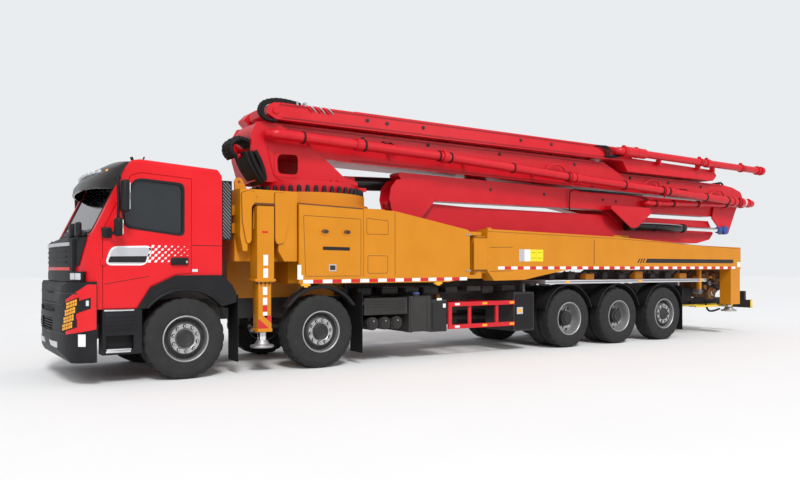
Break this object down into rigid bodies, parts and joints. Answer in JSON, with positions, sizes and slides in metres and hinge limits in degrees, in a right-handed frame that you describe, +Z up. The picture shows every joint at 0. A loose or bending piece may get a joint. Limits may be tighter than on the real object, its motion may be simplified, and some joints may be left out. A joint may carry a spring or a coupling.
{
  "type": "concrete pump truck",
  "caption": "Heavy truck with a folded, pipe-carrying concrete placing boom, swing-out outriggers, pump unit and rear hopper.",
  "frame": {"origin": "centre of the bounding box, on the ground", "axes": "+X forward, +Y left, +Z up"},
  "size_m": [16, 2.98, 4.009],
  "materials": {
    "tyre_rubber": "matte moulded rubber",
    "chassis_black": "satin paint",
    "cab_red": "gloss paint",
    "tinted_glass": "tinted",
    "cylinder_black": "gloss paint",
    "boom_red": "gloss paint",
    "body_orange": "gloss paint",
    "bright_chrome": "polished",
    "engine_grey": "as cast",
    "cab_trim": "grained",
    "smoked_plastic": "smoked",
    "deck_aluminium": "chequer plate",
    "machine_grey": "worn paint"
  },
  "bodies": {
    "truck_body": {"body_box": "body_orange", "bumper": "cab_trim", "cab_interior": "cab_trim", "cab_shell": "cab_red", "cab_steps": "cab_red", "chassis_boxes": "chassis_black", "chassis_frame": "chassis_black", "engine": "engine_grey", "front_axles": "chassis_black", "front_mask": "cab_trim", "hopper": "machine_grey", "mudguards": "chassis_black", "pump_unit": "machine_grey", "rear_axles": "chassis_black", "side_guards": "boom_red", "side_panel_left": "body_orange", "side_panel_right": "body_orange", "sun_visor": "smoked_plastic", "turret": "boom_red", "underrun": "chassis_black", "walkways": "deck_aluminium", "windscreen": "tinted_glass"},
    "knuckle_1_left_body": {"knuckle_1_left": "chassis_black"},
    "knuckle_1_right_body": {"knuckle_1_right": "chassis_black"},
    "knuckle_2_left_body": {"knuckle_2_left": "chassis_black"},
    "knuckle_2_right_body": {"knuckle_2_right": "chassis_black"},
    "wheel_1_left_body": {"wheel_1_left": "tyre_rubber"},
    "wheel_1_right_body": {"wheel_1_right": "tyre_rubber"},
    "wheel_2_left_body": {"wheel_2_left": "tyre_rubber"},
    "wheel_2_right_body": {"wheel_2_right": "tyre_rubber"},
    "wheel_3_left_body": {"wheel_3_left": "tyre_rubber"},
    "wheel_3_right_body": {"wheel_3_right": "tyre_rubber"},
    "wheel_4_left_body": {"wheel_4_left": "tyre_rubber"},
    "wheel_4_right_body": {"wheel_4_right": "tyre_rubber"},
    "wheel_5_left_body": {"wheel_5_left": "tyre_rubber"},
    "wheel_5_right_body": {"wheel_5_right": "tyre_rubber"},
    "cab_door_left_body": {"cab_door_left": "cab_red", "door_glass_left": "tinted_glass", "mirror_left": "chassis_black"},
    "front_outrigger_left_body": {"front_outrigger_left": "body_orange"},
    "rear_outrigger_left_body": {"rear_outrigger_left": "body_orange"},
    "front_leg_left_body": {"front_leg_left": "bright_chrome"},
    "rear_leg_left_body": {"rear_leg_left": "bright_chrome"},
    "cab_door_right_body": {"cab_door_right": "cab_red", "door_glass_right": "tinted_glass", "mirror_right": "chassis_black"},
    "front_outrigger_right_body": {"front_outrigger_right": "body_orange"},
    "rear_outrigger_right_body": {"rear_outrigger_right": "body_orange"},
    "front_leg_right_body": {"front_leg_right": "bright_chrome"},
    "rear_leg_right_body": {"rear_leg_right": "bright_chrome"},
    "boom_body": {"boom_1": "boom_red", "boom_2": "boom_red", "boom_3": "boom_red", "boom_4": "boom_red", "boom_2_cylinder": "cylinder_black"},
    "boom_5_body": {"boom_5": "boom_red"},
    "boom_6_body": {"boom_6": "boom_red"},
    "lift_barrel_body": {"lift_cylinder_barrel": "cylinder_black"},
    "lift_rod_body": {"lift_cylinder_rod": "bright_chrome"},
    "hopper_grate_body": {"hopper_grate": "machine_grey"}
  },
  "joints": [
    {"name": "steer_1_left", "type": "hinge", "parent": "truck_body", "child": "knuckle_1_left_body", "pos_m": [6.5, 0.76, 0.535], "axis": [0, 0, 1], "range_deg": [-35, 35]},
    {"name": "spin_1_left", "type": "hinge", "parent": "knuckle_1_left_body", "child": "wheel_1_left_body", "pos_m": [6.5, 1.0425, 0.535], "axis": [0, 1, 0], "continuous": true},
    {"name": "steer_1_right", "type": "hinge", "parent": "truck_body", "child": "knuckle_1_right_body", "pos_m": [6.5, -0.76, 0.535], "axis": [0, 0, 1], "range_deg": [-35, 35]},
    {"name": "spin_1_right", "type": "hinge", "parent": "knuckle_1_right_body", "child": "wheel_1_right_body", "pos_m": [6.5, -1.0425, 0.535], "axis": [0, 1, 0], "continuous": true},
    {"name": "steer_2_left", "type": "hinge", "parent": "truck_body", "child": "knuckle_2_left_body", "pos_m": [4.505, 0.76, 0.535], "axis": [0, 0, 1], "range_deg": [-26.5, 26.5]},
    {"name": "spin_2_left", "type": "hinge", "parent": "knuckle_2_left_body", "child": "wheel_2_left_body", "pos_m": [4.505, 1.0425, 0.535], "axis": [0, 1, 0], "continuous": true},
    {"name": "steer_2_right", "type": "hinge", "parent": "truck_body", "child": "knuckle_2_right_body", "pos_m": [4.505, -0.76, 0.535], "axis": [0, 0, 1], "range_deg": [-26.5, 26.5]},
    {"name": "spin_2_right", "type": "hinge", "parent": "knuckle_2_right_body", "child": "wheel_2_right_body", "pos_m": [4.505, -1.0425, 0.535], "axis": [0, 1, 0], "continuous": true},
    {"name": "spin_3_left", "type": "hinge", "parent": "truck_body", "child": "wheel_3_left_body", "pos_m": [-0.63, 1.0425, 0.535], "axis": [0, 1, 0], "continuous": true},
    {"name": "spin_3_right", "type": "hinge", "parent": "truck_body", "child": "wheel_3_right_body", "pos_m": [-0.63, -1.0425, 0.535], "axis": [0, 1, 0], "continuous": true},
    {"name": "spin_4_left", "type": "hinge", "parent": "truck_body", "child": "wheel_4_left_body", "pos_m": [-2, 1.0425, 0.535], "axis": [0, 1, 0], "continuous": true},
    {"name": "spin_4_right", "type": "hinge", "parent": "truck_body", "child": "wheel_4_right_body", "pos_m": [-2, -1.0425, 0.535], "axis": [0, 1, 0], "continuous": true},
    {"name": "spin_5_left", "type": "hinge", "parent": "truck_body", "child": "wheel_5_left_body", "pos_m": [-3.385, 1.0425, 0.535], "axis": [0, 1, 0], "continuous": true},
    {"name": "spin_5_right", "type": "hinge", "parent": "truck_body", "child": "wheel_5_right_body", "pos_m": [-3.385, -1.0425, 0.535], "axis": [0, 1, 0], "continuous": true},
    {"name": "boom_lift", "type": "hinge", "parent": "truck_body", "child": "boom_body", "pos_m": [5, 0, 3.48], "axis": [0, 1, 0], "range_deg": [0, 80]},
    {"name": "boom_5_unfold", "type": "hinge", "parent": "boom_body", "child": "boom_5_body", "pos_m": [4.9, 0, 3.858], "axis": [0, -1, 0], "range_deg": [-180, 0]},
    {"name": "boom_6_unfold", "type": "hinge", "parent": "boom_5_body", "child": "boom_6_body", "pos_m": [-6.15, -0.325, 3.632], "axis": [0, -1, 0], "range_deg": [0, 180]},
    {"name": "lift_barrel_tilt", "type": "hinge", "parent": "truck_body", "child": "lift_barrel_body", "pos_m": [3.35, -0.13, 2.91], "axis": [0, 1, 0], "range_deg": [0, 95]},
    {"name": "lift_rod_slide", "type": "slide", "parent": "lift_barrel_body", "child": "lift_rod_body", "axis": [-0.9994, 0, 0.0351], "range_m": [0, 2.105]},
    {"name": "front_outrigger_left_swing", "type": "hinge", "parent": "truck_body", "child": "front_outrigger_left_body", "pos_m": [8.70015, -0.4, 1.9], "axis": [0, 0, -1], "range_deg": [0, 24]},
    {"name": "rear_outrigger_left_swing", "type": "hinge", "parent": "truck_body", "child": "rear_outrigger_left_body", "pos_m": [1.5, 1.095, 1.7], "axis": [0, 0, -1], "range_deg": [0, 60]},
    {"name": "front_leg_left_slide", "type": "slide", "parent": "front_outrigger_left_body", "child": "front_leg_left_body", "axis": [0, 0, -1], "range_m": [0, 0.5]},
    {"name": "rear_leg_left_slide", "type": "slide", "parent": "rear_outrigger_left_body", "child": "rear_leg_left_body", "axis": [0, 0, -1], "range_m": [0, 0.6]},
    {"name": "cab_door_left_hinge", "type": "hinge", "parent": "truck_body", "child": "cab_door_left_body", "pos_m": [7.545, 1.212, 1.8], "axis": [0, 0, -1], "range_deg": [0, 70]},
    {"name": "front_outrigger_right_swing", "type": "hinge", "parent": "truck_body", "child": "front_outrigger_right_body", "pos_m": [8.70015, 0.4, 1.9], "axis": [0, 0, 1], "range_deg": [0, 24]},
    {"name": "rear_outrigger_right_swing", "type": "hinge", "parent": "truck_body", "child": "rear_outrigger_right_body", "pos_m": [1.5, -1.095, 1.7], "axis": [0, 0, 1], "range_deg": [0, 60]},
    {"name": "front_leg_right_slide", "type": "slide", "parent": "front_outrigger_right_body", "child": "front_leg_right_body", "axis": [0, 0, -1], "range_m": [0, 0.5]},
    {"name": "rear_leg_right_slide", "type": "slide", "parent": "rear_outrigger_right_body", "child": "rear_leg_right_body", "axis": [0, 0, -1], "range_m": [0, 0.6]},
    {"name": "cab_door_right_hinge", "type": "hinge", "parent": "truck_body", "child": "cab_door_right_body", "pos_m": [7.545, -1.212, 1.8], "axis": [0, 0, 1], "range_deg": [0, 70]},
    {"name": "hopper_grate_hinge", "type": "hinge", "parent": "truck_body", "child": "hopper_grate_body", "pos_m": [-5.94, 0, 1.4513], "axis": [0, 1, 0], "range_deg": [0, 95]}
  ],
  "couplings": [
    {"joint": "steer_1_right", "follows": "steer_1_left", "ratio": 1},
    {"joint": "steer_2_left", "follows": "steer_1_left", "ratio": 0.745},
    {"joint": "steer_2_right", "follows": "steer_1_left", "ratio": 0.745},
    {"joint": "lift_barrel_tilt", "follows": "boom_lift", "ratio": 1.1588},
    {"joint": "lift_rod_slide", "follows": "boom_lift", "m_per_rad": 1.4932}
  ]
}
